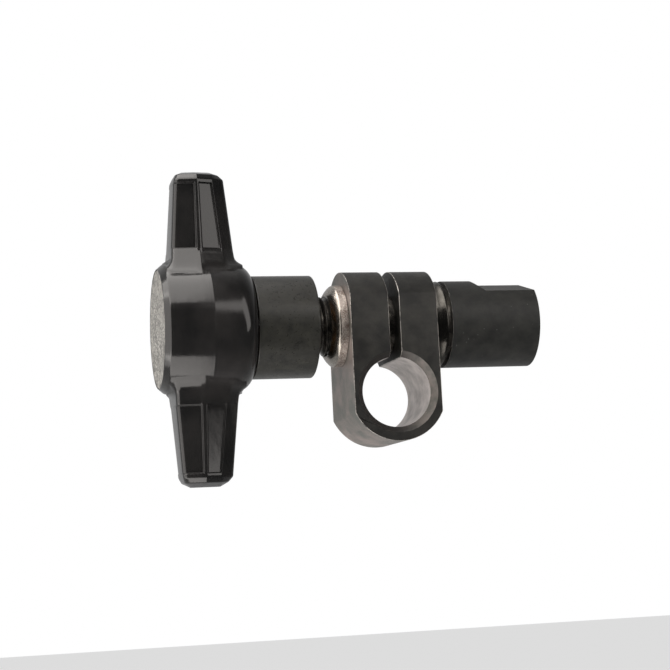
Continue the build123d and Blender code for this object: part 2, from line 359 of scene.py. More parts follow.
def stippled_cap():
    """Coarse stippled black plastic of the end cap, with a pale painted highlight on its peaks and
    painted shade in its pits.
    """
    g = Graph("stippled_cap", specular=0.55)
    pits = g.cells(0.75 * MM)
    grain = g.noise(0.55 * MM, 4, 0.8)
    blotch = g.noise(2.2 * MM, 4, 0.7)
    # pale is a painted highlight on the stipple's peaks, and dark is painted shade in its pits
    pale = g.colours(g.remap(blotch, 0.40, 0.62, 0, 1), (0.13, 0.125, 0.115), (0.46, 0.445, 0.41))
    dark = g.colours(pits, (0.035, 0.034, 0.031), (0.09, 0.087, 0.080))
    peaks = g.remap(grain, 0.44, 0.56, 0.0, 1.0)
    colour = g.mix_inputs(peaks, dark, pale)
    rough = g.remap(grain, 0.3, 0.7, 0.55, 0.35)
    normal = g.bump(grain, 0.16 * MM)
    normal = g.bump(g.remap(pits, 0.05, 0.5, 0, 1), 0.06 * MM, normal)
    return g.out(colour, rough, normal)


def turned_black():
    """Blackened turned steel of the sleeve: fine tool rings, mottled and oily."""
    g = Graph("turned_black_steel", specular=0.5)
    rings = g.noise(0.16 * MM, 3, 0.7, g.stretched(1, 0.02, 0.02))
    blotch = g.noise(2.4 * MM, 5, 0.65)
    speck = g.noise(0.7 * MM, 4, 0.7)
    colour = g.colours(g.remap(blotch, 0.35, 0.7, 0, 1), (0.012, 0.012, 0.0105), (0.024, 0.0235, 0.019))
    rough = g.remap(speck, 0.35, 0.65, 0.26, 0.40)
    normal = g.bump(rings, 0.008 * MM)
    normal = g.bump(speck, 0.008 * MM, normal)
    return g.out(colour, rough, normal)


def clamp_black():
    """Satin black of the milled clamp: fine grain and a cloudy tone, rubbed a little brown."""
    g = Graph("milled_black", specular=0.32)
    cloud = g.noise(4.5 * MM, 5, 0.6)
    grain = g.noise(0.22 * MM, 3, 0.7)
    mottle = g.noise(1.1 * MM, 4, 0.7)
    colour = g.colours(g.remap(cloud, 0.35, 0.68, 0, 1), (0.008, 0.008, 0.0076), (0.023, 0.0222, 0.0195))
    rough = g.remap(mottle, 0.3, 0.7, 0.34, 0.50)
    normal = g.bump(grain, 0.007 * MM)
    normal = g.bump(mottle, 0.030 * MM, normal)
    return g.out(colour, rough, normal)


def side_foot_sheen_black():
    """Sides and foot of the clamp: a painted reflection of the lamps in brown-grey, cloudy and speckled
    lighter.
    """
    g = Graph("side_foot_sheen_black", specular=0.6)
    cloud = g.noise(6 * MM, 4, 0.6)
    grain = g.noise(0.3 * MM, 4, 0.75)
    # painted reflection: brown-grey, lighter than the black of the front, with lighter speckle
    colour = g.colours(g.remap(cloud, 0.38, 0.62, 0, 1), (0.056, 0.058, 0.050), (0.135, 0.110, 0.100))
    sheen_speckle = g.colours(cloud, (0.16, 0.15, 0.13), (0.22, 0.20, 0.18))
    colour = g.mix_inputs(g.remap(grain, 0.55, 0.68, 0, 0.8), colour, sheen_speckle)
    rough = g.remap(grain, 0.3, 0.7, 0.32, 0.48)
    return g.out(colour, rough, g.bump(grain, 0.012 * MM))


def lead_painted_sheen():
    """Lead-in of the rod bore: black towards the handle, with a painted reflection in brown towards the
    socket, where it faces the left lamp.
    """
    g = Graph("lead_painted_sheen", specular=0.5)
    axes = g.add("ShaderNodeSeparateXYZ")
    g.link(g.place, axes.inputs[0])
    cloud = g.noise(3 * MM, 4, 0.6)
    grain = g.noise(0.3 * MM, 4, 0.75)
    # rubbed marks the painted reflection: brown where the lead-in faces the left lamp, black where it
    # faces away
    rubbed = g.remap(axes.outputs["X"], 0.5 * MM, 6.5 * MM, 0, 1)
    brown = g.colours(g.remap(cloud, 0.38, 0.62, 0, 1), (0.055, 0.052, 0.045), (0.125, 0.108, 0.096))
    black = g.colours(cloud, (0.010, 0.010, 0.0098), (0.020, 0.019, 0.018))
    colour = g.mix_inputs(rubbed, black, brown)
    rough = g.remap(grain, 0.3, 0.7, 0.32, 0.48)
    return g.out(colour, rough, g.bump(grain, 0.012 * MM))


def bore_steel():
    """Wall of the rod bore, rubbed to brown-grey steel by the rods, with fine scratches."""
    g = Graph("rubbed_bore", metallic=0.75, specular=0.6)
    cloud = g.noise(3.5 * MM, 4, 0.6)
    scratch = g.noise(0.25 * MM, 3, 0.7, g.stretched(0.3, 1, 0.3))
    colour = g.colours(g.remap(cloud, 0.35, 0.7, 0, 1), (0.46, 0.42, 0.395), (0.78, 0.715, 0.68))
    rough = g.remap(scratch, 0.3, 0.7, 0.28, 0.46)
    return g.out(colour, rough, g.bump(scratch, 0.012 * MM))


def socket_black():
    """Satin black of the end socket, with scattered fine pits and bright specks."""
    g = Graph("socket_black", specular=0.38)
    cloud = g.noise(3.2 * MM, 5, 0.65)
    grain = g.noise(0.28 * MM, 3, 0.7)
    specks = g.cells(1.5 * MM)
    base = g.colours(g.remap(cloud, 0.35, 0.7, 0, 1), (0.010, 0.0105, 0.010), (0.021, 0.021, 0.019))
    bright = g.colours(cloud, (0.10, 0.10, 0.095), (0.17, 0.17, 0.16))
    colour = g.mix_inputs(g.remap(specks, 0.03, 0.07, 1, 0), base, bright)
    rough = g.remap(grain, 0.3, 0.7, 0.38, 0.55)
    return g.out(colour, rough, g.bump(grain, 0.010 * MM))


def rubbed_edge():
    """Edges where the black has rubbed through to bright steel, unevenly."""
    g = Graph("rubbed_edge", specular=0.6)
    patch = g.noise(2.2 * MM, 5, 0.7)
    grain = g.noise(0.2 * MM, 3, 0.7)
    bare = g.remap(patch, 0.40, 0.56, 0.0, 1.0)
    colour = g.colours(bare, (0.05, 0.048, 0.045), (0.60, 0.57, 0.53))
    rough = g.remap(grain, 0.3, 0.7, 0.26, 0.42)
    return g.out(colour, rough, g.bump(grain, 0.006 * MM), metallic=bare)


def polished_steel(name, tone, tooth):
    """Polished washer steel with fine grinding, tooth in millimetres, and a warm tarnish."""
    g = Graph(name, metallic=1.0)
    tarnish = g.noise(2.0 * MM, 4, 0.6)
    grind = g.noise(0.14 * MM, 3, 0.7)
    dull = tuple(c * 0.62 for c in tone)
    colour = g.colours(g.remap(tarnish, 0.35, 0.7, 0, 1), dull, tone)
    rough = g.remap(grind, 0.3, 0.7, 0.13, 0.30)
    return g.out(colour, rough, g.bump(grind, tooth * MM))


def knurled_rim():
    """Rim of the cone washer: fine serrations, bright on their tops and tarnished brown between."""
    g = Graph("knurled_rim", metallic=0.9)
    grain = g.noise(0.30 * MM, 4, 0.8)
    streak = g.noise(0.35 * MM, 2, 0.6, g.stretched(0.15, 1, 1))
    stain = g.noise(1.8 * MM, 4, 0.6)
    colour = g.colours(g.remap(stain, 0.35, 0.65, 0, 1), (0.20, 0.155, 0.135), (0.50, 0.43, 0.39))
    bright = g.colours(stain, (0.62, 0.57, 0.51), (0.86, 0.82, 0.75))
    colour = g.mix_inputs(g.remap(grain, 0.50, 0.60, 0, 0.85), colour, bright)
    rough = g.remap(grain, 0.3, 0.7, 0.30, 0.52)
    normal = g.bump(streak, 0.05 * MM)
    normal = g.bump(grain, 0.03 * MM, normal)
    return g.out(colour, rough, normal)


def thread_steel():
    """Dark oiled steel of the stud, brighter in patches."""
    g = Graph("thread_steel", metallic=0.85)
    patch = g.noise(1.6 * MM, 4, 0.6)
    grain = g.noise(0.15 * MM, 3, 0.7)
    colour = g.colours(g.remap(patch, 0.4, 0.7, 0, 1), (0.035, 0.033, 0.030), (0.13, 0.12, 0.105))
    rough = g.remap(grain, 0.3, 0.7, 0.20, 0.38)
    return g.out(colour, rough, g.bump(grain, 0.006 * MM))


def machined(name, dark, light):
    """Plain machined metal for the inner parts, with tool marks along the turning."""
    g = Graph(name, metallic=1.0)
    marks = g.noise(0.2 * MM, 3, 0.7, g.stretched(1, 0.05, 0.05))
    stain = g.noise(2.5 * MM, 4, 0.6)
    colour = g.colours(g.remap(stain, 0.35, 0.7, 0, 1), dark, light)
    rough = g.remap(marks, 0.3, 0.7, 0.25, 0.45)
    return g.out(colour, rough, g.bump(marks, 0.008 * MM))


def studio_white(name, colour, glow):
    """Pale paper of the floor, with a very faint tooth and a glow that lifts its shadows."""
    g = Graph(name, specular=0.1)
    tooth = g.noise(4 * MM, 3)
    tone = g.colours(tooth, tuple(c * 0.985 for c in colour), colour)
    g.set("Roughness", 0.9)
    g.set("Emission Color", (1, 1, 1, 1))
    g.set("Emission Strength", glow)
    return g.out(tone)


GLOSS = gloss_plastic()
PANEL = matte_panel()
STIPPLE = stippled_cap()
TURNED = turned_black()
MILLED = clamp_black()
SIDE_FOOT_SHEEN = side_foot_sheen_black()
LEAD = lead_painted_sheen()
BORE = bore_steel()
SOCKET = socket_black()
EDGE = rubbed_edge()
POLISHED = polished_steel("polished_steel", (0.50, 0.46, 0.41), 0.010)
DARK_POLISHED = polished_steel("dark_polished_steel", (0.11, 0.105, 0.095), 0.006)
RIM = knurled_rim()
THREAD = thread_steel()
STEEL = machined("machined_steel", (0.28, 0.28, 0.275), (0.52, 0.52, 0.51))
BRASS = machined("machined_brass", (0.48, 0.34, 0.13), (0.78, 0.60, 0.30))
BRONZE = machined("oiled_bronze", (0.10, 0.065, 0.035), (0.22, 0.15, 0.09))


# ---------------------------------------------------------------- T-handle

HUB_LEFT, HUB_RIGHT, _ = span("knob_body")
HUB_R = 15.2 * MM          # at the parting line
HUB_END_R = 14.9 * MM
HUB_PARTING_X = -42.2 * MM
HUB_BEVEL_DROP = 1.15 * MM
HUB_BEVEL_RUN = 1.35 * MM
HUB_DOME = 4.2 * MM
CAP_R = span("knob_end_cap")[2]
BUSH_R = 9.2 * MM
NUT_ROOM_R = 12.9 * MM
SEAT_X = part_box("knob_lock_washer")[1].x
HANDLE_TILT = 2.0          # degrees, as the CAD handle is parked
PART_STEP = 0.07 * MM      # step of the moulding at its parting line
PILOT_R = 4.0 * MM         # hole through the hub before it is hollowed
OVERCUT = 1.0 * MM         # how far cutting tools run past the faces they open
CAP_GAP = 0.05 * MM        # round the end cap
CAP_DISC_SHARE = 0.6       # share of the end cap's depth that is its visible disc
CAP_SINK = 0.12 * MM       # how far the cap's middle lies below its outer ring
CAP_SKIRT_R = 12.85 * MM
CAP_SKIRT_WALL = 0.95 * MM
SLEEVE_MOUTH_R = 9.9 * MM
BUSH_FLANGE = 1.5 * MM

PANEL_BOTTOM = 17.9 * MM
PANEL_TOP = 33.2 * MM
PANEL_DEPTH = 0.7 * MM
PANEL_WALL = 0.35 * MM     # height over which a panel sinks
SKIRT_SLOPE = 0.29         # the faces spread by this much per unit height below the panels
FACE_FILLET = 2.2 * MM     # concave blend of the wing faces into the hub
SIDE_FILLET = 1.3 * MM     # smaller blend at the narrow sides
BURIED = 10.0 * MM         # the wing starts this far from the axis, inside the hub
ROOT_STEP = 0.4 * MM       # spacing of the rows through the root
ROOT_ROWS = 18
PANEL_ROWS = (19.5, 22.5, 26.0, 29.5)      # further rows along the panels, in millimetres
CROWN_ROUND = 0.5 * MM
LEFT_ROUND = 1.3 * MM      # roundings of the wing's corners
RIDGE_ROUND = 0.3 * MM
PANEL_ROUND = 0.12 * MM
SHOULDER_ROUND = 0.7 * MM
RIGHT_ROUND = 0.8 * MM
LEFT_PANEL_END = (0.87, 0.90)              # foot and lip of each panel edge, as shares of the face
RIGHT_PANEL_START = (0.09, 0.13)
RIGHT_PANEL_END = (0.92, 0.96)
# Distance from the screw axis, then (x, half thickness) of the left, ridge, panel and right corner
# lines, in millimetres: at the root, the shoulder, the crown and the tip.
WING_STATIONS = (
    (15.0, -50.5, 6.2, -43.9, 7.1, -38.4, 6.0, -35.5, 4.0),
    (34.2, -49.1, 5.0, -43.9, 5.7, -40.3, 4.7, -37.4, 3.3),
    (35.4, -48.6, 3.8, -43.9, 4.7, -40.1, 3.8, -38.4, 2.4),
    (36.4, -46.9, 0.8, -43.9, 1.3, -40.8, 0.9, -40.1, 0.6),
)


def smoothstep(value, start, end):
    t = min(1.0, max(0.0, (value - start) / (end - start)))
    return t * t * (3 - 2 * t)


def wing_rows():
    """Stations of a wing from inside the hub to its tip, with soft changes of direction."""
    stations = [Vector(s) * MM for s in WING_STATIONS]
    root, shoulder = stations[0], stations[1]

    def straight(height):
        return root + (shoulder - root) * ((height - root[0]) / (shoulder[0] - root[0]))

    wall_steps = [PANEL_WALL * k for k in (-0.5, -0.25, 0.0, 0.25, 0.5)]
    heights = [BURIED + ROOT_STEP * k for k in range(ROOT_ROWS)]
    heights += [PANEL_BOTTOM + step for step in wall_steps]
    heights += [row * MM for row in PANEL_ROWS]
    heights += [PANEL_TOP + step for step in wall_steps]
    rows = [straight(height) for height in heights]
    crown, tip = stations[2], stations[3]
    rows += blend_corner(rows[-1], shoulder, crown, CROWN_ROUND, 4)
    rows += blend_corner(shoulder, crown, tip, CROWN_ROUND, 4)
    rows += [crown + (tip - crown) * t for t in (0.6, 0.8, 1.0)]
    return rows


def wing_half_outline(row):
    """Front half of one wing section as (x, w, in panel) points, from the left flat to the right."""
    height = row[0]
    left, ridge, panel, right = (Vector((row[i], row[i + 1])) for i in (1, 3, 5, 7))
    inside = smoothstep(height, PANEL_BOTTOM - PANEL_WALL / 2, PANEL_BOTTOM + PANEL_WALL / 2)
    inside *= 1 - smoothstep(height, PANEL_TOP - PANEL_WALL / 2, PANEL_TOP + PANEL_WALL / 2)
    sink = Vector((0, -PANEL_DEPTH * inside))
    corners = [
        (Vector((left.x, 0)), 0, False),
        (left + sink, LEFT_ROUND, True),
        (left.lerp(ridge, LEFT_PANEL_END[0]) + sink, PANEL_ROUND, True),
        (left.lerp(ridge, LEFT_PANEL_END[1]), PANEL_ROUND, False),
        (ridge, RIDGE_ROUND, False),
        (ridge.lerp(panel, RIGHT_PANEL_START[0]), PANEL_ROUND, False),
        (ridge.lerp(panel, RIGHT_PANEL_START[1]) + sink, PANEL_ROUND, True),
        (ridge.lerp(panel, RIGHT_PANEL_END[0]) + sink, PANEL_ROUND, True),
        (ridge.lerp(panel, RIGHT_PANEL_END[1]), PANEL_ROUND, False),
        (panel, SHOULDER_ROUND, False),
        (right, RIGHT_ROUND, False),
        (Vector((right.x, 0)), 0, False),
    ]
    points = []
    for i, (corner, cut, in_panel) in enumerate(corners):
        if cut:
            around = blend_corner(corners[i - 1][0], corner, corners[i + 1][0], cut, 3)
            points += [(p.x, p.y, in_panel and inside > 0.9) for p in around]
        else:
            points.append((corner.x, corner.y, False))
    return points


def face_flare(w, height):
    """Half thickness with the concave blend that runs tangent from the wing face to the hub."""
    w += SKIRT_SLOPE * max(PANEL_BOTTOM - PANEL_WALL - height, 0)
    across = w + FACE_FILLET
    reach = HUB_R + FACE_FILLET
    centre = math.sqrt(reach ** 2 - across ** 2)
    if height >= centre:
        return w
    touch = centre * HUB_R / reach
    drop = min(centre - height, centre - touch)
    return across - math.sqrt(FACE_FILLET ** 2 - drop ** 2)


def side_flare(w, height):
    """How far a narrow side of the wing spreads where it meets the hub."""
    above = max(math.hypot(w, height) - HUB_R, 0)
    if above >= SIDE_FILLET:
        return 0
    return SIDE_FILLET - math.sqrt(SIDE_FILLET ** 2 - (SIDE_FILLET - above) ** 2)


def wing_ring(row):
    """One closed ring of a wing as (x, w, height, in panel), spread near the root."""
    half = wing_half_outline(row)
    height = row[0]
    left, right = row[1], row[7]
    flared = []
    for x, w, in_panel in half:
        wide = face_flare(w, height) if w > 2 * MM else w
        spread = side_flare(wide, height) * smoothstep(abs(x - (left + right) / 2), 0, (right - left) / 2)
        x += spread if x > (left + right) / 2 else -spread
        flared.append((x, wide, height, in_panel))
    back = [(x, -w, h, p) for x, w, h, p in reversed(flared[1:-1])]
    return flared + back


def wing_solid(turn_deg):
    """One closed wing, turned about the screw axis from straight up."""
    bm = bmesh.new()
    turn = Matrix.Rotation(math.radians(turn_deg), 3, "X")
    rings = []
    for row in wing_rows():
        ring = []
        for x, w, lift, in_panel in wing_ring(row):
            ring.append((bm.verts.new(turn @ Vector((x, -w, lift)) + AXIS_POINT), in_panel))
        rings.append(ring)
    for lower, upper in zip(rings, rings[1:]):
        for j in range(len(lower)):
            k = (j + 1) % len(lower)
            quad = (lower[j], lower[k], upper[k], upper[j])
            face = bm.faces.new([v for v, _ in quad])
            face.material_index = 1 if all(p for _, p in quad) else 0
    bm.faces.new([v for v, _ in rings[-1]])
    bm.faces.new([v for v, _ in reversed(rings[0])])
    return bm


def hub_solid():
    """The hub before it is hollowed: bevel, two drafted lengths and dome, round a pilot hole."""
    bm = bmesh.new()
    dome = arc((HUB_RIGHT - HUB_DOME, HUB_END_R - HUB_DOME), HUB_DOME, 90, 0, 12)
    outline = [
        (HUB_LEFT, PILOT_R, 0), (HUB_LEFT, HUB_END_R - HUB_BEVEL_DROP, 0.15 * MM),
        (HUB_LEFT + HUB_BEVEL_RUN, HUB_END_R, 0.25 * MM), (HUB_PARTING_X, HUB_R, 0.05 * MM),
        (HUB_PARTING_X + 0.03 * MM, HUB_R - PART_STEP, 0.02 * MM),
    ]
    outline += [(x, r, 0) for x, r in dome]
    outline += [(HUB_RIGHT, PILOT_R, 0)]
    add_lathe(bm, round_loop(outline), 160)
    return bm


def hub_hollow():
    """The room taken out of the hub: cap recess, nut room and the hole for the bush."""
    bm = bmesh.new()
    start, end = HUB_LEFT - OVERCUT, HUB_RIGHT + OVERCUT
    inner = HUB_LEFT + (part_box("knob_end_cap")[1].x - HUB_LEFT) * CAP_DISC_SHARE
    recess = CAP_R + CAP_GAP
    core = PILOT_R / 2
    add_lathe(bm, [
        (start, core), (start, recess), (inner, recess), (inner, NUT_ROOM_R),
        (SEAT_X, NUT_ROOM_R), (SEAT_X, BUSH_R), (end, BUSH_R), (end, core)], 160)
    return bm


def moulded_handle():
    """Hub and both wings joined into one solid, then hollowed."""
    body = temp_object(hub_solid(), GLOSS, PANEL)
    for side in (0, 180):
        boolean(body, temp_object(wing_solid(HANDLE_TILT + side), GLOSS, PANEL), "UNION")
    boolean(body, temp_object(hub_hollow()), "DIFFERENCE")
    piece = finish_piece("moulded_handle", take_mesh(body), "handle", "moulded_black",
                         [GLOSS, PANEL], "knob_body")
    weighted(piece)


def end_cap():
    """Stippled disc, very slightly dished, with its skirt inside the hub."""
    left, right, _ = span("knob_end_cap")
    disc = left + (right - left) * CAP_DISC_SHARE
    inside = CAP_SKIRT_R - CAP_SKIRT_WALL
    mesh = lathe_mesh("end_cap_disc", [
        (left + CAP_SINK, 0, 0), (left, CAP_R * 0.8, 4 * MM), (left + 0.05 * MM, CAP_R, 0.3 * MM),
        (disc, CAP_R, 0.1 * MM), (disc, CAP_SKIRT_R, 0), (right, CAP_SKIRT_R, 0.1 * MM),
        (right, inside, 0.1 * MM), (disc, inside, 0), (disc, 0, 0)], 160)
    piece = finish_piece("end_cap_disc", mesh, "handle", "cap_stipple", [STIPPLE], "knob_end_cap")
    weighted(piece)


def sleeve():
    """Plain turned sleeve, open towards the clamp, with a smaller bore at the hub."""
    left, right, radius = span("knob_sleeve")
    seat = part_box("knob_threaded_bush")[1].x - BUSH_FLANGE
    mesh = lathe_mesh("turned_sleeve", [
        (left, BUSH_R, 0), (left, radius, 0.25 * MM), (right, radius, 0.3 * MM),
        (right, SLEEVE_MOUTH_R, 0.2 * MM), (seat, SLEEVE_MOUTH_R, 0), (seat, BUSH_R, 0)], 160)
    piece = finish_piece("turned_sleeve", mesh, "handle", "sleeve_black", [TURNED], "knob_sleeve")
    weighted(piece)


# ---------------------------------------------------------------- stud and washers

SHAFT_R = 7.05 * MM        # holes that the stud passes through
THREAD_PITCH = 1.5 * MM
THREAD_DEPTH = 0.85 * MM
THREAD_CREST = 0.14        # parts of one pitch
THREAD_ROOT = 0.22
THREAD_FLANK = (1 - THREAD_CREST - THREAD_ROOT) / 2
THREAD_RELIEF = 0.6 * MM   # the thread stops this far short of the clamp
THREAD_FADE = 1.2          # pitches over which the thread rises at its free end
THREAD_START = 0.45        # share of its depth that it starts with
SHANK_OVERLAP = 0.4 * MM   # the shank reaches this far into the threaded bar
STUD_TAIL_R = 6.0 * MM
CONE_TIP_R = 7.55 * MM
CONE_RIM_WIDTH = 2.0 * MM
CONE_NOSE = 0.75 * MM      # length of the steep part of the nose
CONE_NOSE_DROP = 0.86 * MM
RING_NEAR_R = 9.85 * MM
RING_NECK = 1.6 * MM


def thread_radius(phase, major):
    """Radius of the thread along one pitch: narrow crest, straight flanks, wider root."""
    phase %= 1.0
    if phase < THREAD_CREST:
        return major
    if phase < THREAD_CREST + THREAD_FLANK:
        return major - THREAD_DEPTH * (phase - THREAD_CREST) / THREAD_FLANK
    if phase < THREAD_CREST + THREAD_FLANK + THREAD_ROOT:
        return major - THREAD_DEPTH
    return major - THREAD_DEPTH * (1 - phase) / THREAD_FLANK


def thread_solid(left, right, major, columns=96):
    """A closed bar with a right-hand helical thread whose rows follow the helix exactly."""
    bm = bmesh.new()
    foot = THREAD_CREST + THREAD_FLANK
    marks = [0, THREAD_CREST / 2, THREAD_CREST, THREAD_CREST + THREAD_FLANK / 2, foot,
             foot + THREAD_ROOT / 2, foot + THREAD_ROOT, 1 - THREAD_FLANK / 2]
    turns = int((right - left) / THREAD_PITCH) + 2
    rows = [k + mark for k in range(-1, turns) for mark in marks]
    per_turn = len(marks)
    fade = THREAD_PITCH * THREAD_FADE
    grid = []
    for row in rows:
        line = []
        for j in range(columns):
            turn = j / columns
            x = left + (row + turn) * THREAD_PITCH
            radius = thread_radius(row, major)
            inside = min(max(x, left), right)
            lead = min(1.0, (inside - left) / fade + THREAD_START)
            radius = min(radius, major - THREAD_DEPTH * (1 - lead))
            angle = -2 * math.pi * turn
            line.append(bm.verts.new((inside, radius * math.sin(angle),
                                      AXIS_Z + radius * math.cos(angle))))
        grid.append(line)
    for i in range(len(rows) - 1):
        for j in range(columns):
            if j + 1 < columns:
                quad = (grid[i][j], grid[i][j + 1], grid[i + 1][j + 1], grid[i + 1][j])
            elif i + 1 + per_turn < len(rows):
                quad = (grid[i][j], grid[i + per_turn][0], grid[i + 1 + per_turn][0], grid[i + 1][j])
            else:
                continue
            xs = [v.co.x for v in quad]
            if max(xs) - min(xs) > 1e-7:
                bm.faces.new(quad)
    loose = [v for v in bm.verts if not v.link_faces]
    bmesh.ops.delete(bm, geom=loose, context="VERTS")
    rim = [e for e in bm.edges if e.is_boundary]
    bmesh.ops.holes_fill(bm, edges=rim, sides=0)
    return bm


def stud():
    """Threaded stud: helix towards the handle, plain shank through the ears, tail in the socket."""
    left, right, radius = span("swivel_stud")
    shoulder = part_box("end_socket")[0].x
    thread_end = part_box("clamp_body")[0].x - THREAD_RELIEF
    shank_end = thread_end - SHANK_OVERLAP
    body = temp_object(thread_solid(left, thread_end, radius))
    shank = bmesh.new()
    add_lathe(shank, round_loop([
        (shank_end, 0, 0), (shank_end, radius - THREAD_DEPTH * 1.05, 0),
        (thread_end + 0.3 * MM, radius, 0.1 * MM), (shoulder, radius, 0),
        (shoulder, STUD_TAIL_R, 0), (right, STUD_TAIL_R, 0.2 * MM), (right, 0, 0)]), 96)
    boolean(body, temp_object(shank), "UNION")
    piece = finish_piece("threaded_stud", take_mesh(body), "swivel", "stud_dark", [THREAD],
                         "swivel_stud")
    piece.modifiers.new("edges", "EDGE_SPLIT").split_angle = math.radians(24)


def cone():
    """Domed washer: polished nose, bright shoulder line and a serrated rim."""
    left, right, rim_r = span("cone_washer")
    rim = right - CONE_RIM_WIDTH
    bm = bmesh.new()
    outline = round_loop([
        (left, SHAFT_R, 0), (left, CONE_TIP_R, 0.12 * MM),
        (left + CONE_NOSE, rim_r - CONE_NOSE_DROP, 0.5 * MM),
        (rim, rim_r, 0.30 * MM), (right, rim_r, 0.12 * MM), (right, SHAFT_R, 0)], 5)
    add_lathe(bm, outline, 160)
    for face in bm.faces:
        middle = face.calc_center_median()
        radius = math.hypot(middle.y, middle.z - AXIS_Z)
        if middle.x > rim + 0.2 * MM and radius > rim_r - 0.05 * MM:
            face.material_index = 1
    mesh = mesh_from(bm, "domed_cone_washer")
    piece = finish_piece("domed_cone_washer", mesh, "cone_washer", "polished_steel",
                         [POLISHED, RIM], "cone_washer")
    weighted(piece)


def thrust_washer():
    """Ring against the right ear: a neck, then a lip of the full radius."""
    left, right, radius = span("polished_thrust_washer")
    mesh = lathe_mesh("polished_ring", [
        (left, SHAFT_R, 0), (left, RING_NEAR_R, 0.25 * MM),
        (left + RING_NECK, RING_NEAR_R + 0.2 * MM, 0.6 * MM),
        (right - 0.2 * MM, radius, 0.3 * MM), (right, radius - 0.25 * MM, 0.12 * MM),
        (right, SHAFT_R, 0)], 160)
    piece = finish_piece("polished_ring", mesh, "thrust_washer", "polished_steel", [DARK_POLISHED],
                         "polished_thrust_washer")
    weighted(piece)


# ---------------------------------------------------------------- clamp and socket

BORE_R = 8.1 * MM
BORE_LEAD = 1.6 * MM       # depth of the lead-in chamfer
BORE_LEAD_R = 9.45 * MM    # its radius at the face
SLOT_HALF = 1.3 * MM
CLEAR = 2.0 * MM           # how far the cutting tools run past the block and the socket
EDGE_WEAR = 0.20 * MM      # width of the rubbed edges
SOCKET_EDGE = 0.22 * MM
NEAR = 0.01 * MM           # tolerance when faces are told apart by place
TAIL_ROOM_R = 6.05 * MM    # room for the stud's tail
TAIL_ROOM_END = 22.05 * MM
INSERT_START = 24.4 * MM   # room for the threaded insert
INSERT_HOLE_R = 5.6 * MM
FLAT_START = 23.7 * MM
FLAT_RAMP = 2.2 * MM
FLAT_DEPTH = 1.6 * MM
FLAT_ANGLE = 15.5          # degrees, as the socket is parked


def clamp():
    """Split block cut from two crossed profiles, bored both ways and slotted."""
    low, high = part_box("clamp_body")
    half_x, half_y = high.x, high.y
    foot_r = -low.z
    crown_r = high.z - AXIS_Z
    side = math.degrees(math.asin(half_x / foot_r))
    front = [(-half_x, high.z + MM)] + arc((0, 0), foot_r, 270 - side, 270 + side, 48)
    front += [(half_x, high.z + MM)]
    along_y = lambda a, b, c: (a, c, b)
    along_x = lambda a, b, c: (c, a, b)
    body = temp_object(prism(front, along_y, half_y))
    lean = math.degrees(math.acos(half_y / crown_r))
    profile = [(half_y, low.z - MM)] + arc((0, AXIS_Z), crown_r, lean, 180 - lean, 56)
    profile += [(-half_y, low.z - MM)]
    boolean(body, temp_object(prism(profile, along_x, half_x * 2)), "INTERSECT")
    bore = y_bar([
        (-half_y - CLEAR, BORE_LEAD_R), (-half_y, BORE_LEAD_R), (-half_y + BORE_LEAD, BORE_R),
        (half_y - BORE_LEAD, BORE_R), (half_y, BORE_LEAD_R), (half_y + CLEAR, BORE_LEAD_R)], 144)
    boolean(body, temp_object(bore), "DIFFERENCE")
    top = high.z + CLEAR
    slot = [(-SLOT_HALF, 0), (SLOT_HALF, 0), (SLOT_HALF, top), (-SLOT_HALF, top)]
    boolean(body, temp_object(prism(slot, along_y, half_y + CLEAR)), "DIFFERENCE")
    boolean(body, temp_object(x_bar(-half_x - CLEAR, half_x + CLEAR, SHAFT_R)), "DIFFERENCE")
    mesh = take_mesh(body)
    finishes = [MILLED, EDGE, BORE, SIDE_FOOT_SHEEN, LEAD]
    for polygon in mesh.polygons:
        corners = [mesh.vertices[v].co for v in polygon.vertices]
        reach = max(math.hypot(c.x, c.z) for c in corners)
        normal = polygon.normal
        side_face = abs(normal.x) > 0.98 and abs(corners[0].x) > BORE_R
        foot_face = normal.z < -0.2 and abs(normal.y) < 0.01
        if reach < BORE_R + NEAR:
            polygon.material_index = finishes.index(BORE)
        # the lead-in chamfer gets its painted reflection
        elif reach < BORE_LEAD_R + NEAR and abs(normal.y) < 0.99:
            polygon.material_index = finishes.index(LEAD)
        # the sides and foot get the painted reflection of the lamps in place of the black
        elif side_face or foot_face:
            polygon.material_index = finishes.index(SIDE_FOOT_SHEEN)
    piece = finish_piece("split_clamp", mesh, "clamp", "clamp_black", finishes, "clamp_body")
    mesh.set_sharp_from_angle(angle=math.radians(30))
    bevelled(piece, EDGE_WEAR, 55)


def end_socket():
    """Round socket with a milled flat that runs out in a ramp, bored from both ends."""
    left, right, radius = span("end_socket")
    body = temp_object(x_bar(left, right, radius, 192))
    boolean(body, temp_object(x_bar(left - CLEAR, TAIL_ROOM_END, TAIL_ROOM_R)), "DIFFERENCE")
    boolean(body, temp_object(x_bar(INSERT_START, right + CLEAR, INSERT_HOLE_R)), "DIFFERENCE")
    start, end = FLAT_START - FLAT_RAMP, right + CLEAR
    flat, above = radius - FLAT_DEPTH, radius + CLEAR
    ramp = [(start, radius), (FLAT_START, flat), (end, flat), (end, above), (start, above)]
    tilt = Matrix.Rotation(math.radians(FLAT_ANGLE), 3, "X")
    place = lambda a, b, c: tilt @ Vector((a, c, b)) + AXIS_POINT
    boolean(body, temp_object(prism(ramp, place, radius)), "DIFFERENCE")
    piece = finish_piece("round_end_socket", take_mesh(body), "swivel", "socket_black",
                         [SOCKET, EDGE], "end_socket")
    bevelled(piece, SOCKET_EDGE, 25)


# ---------------------------------------------------------------- carried CAD nodes

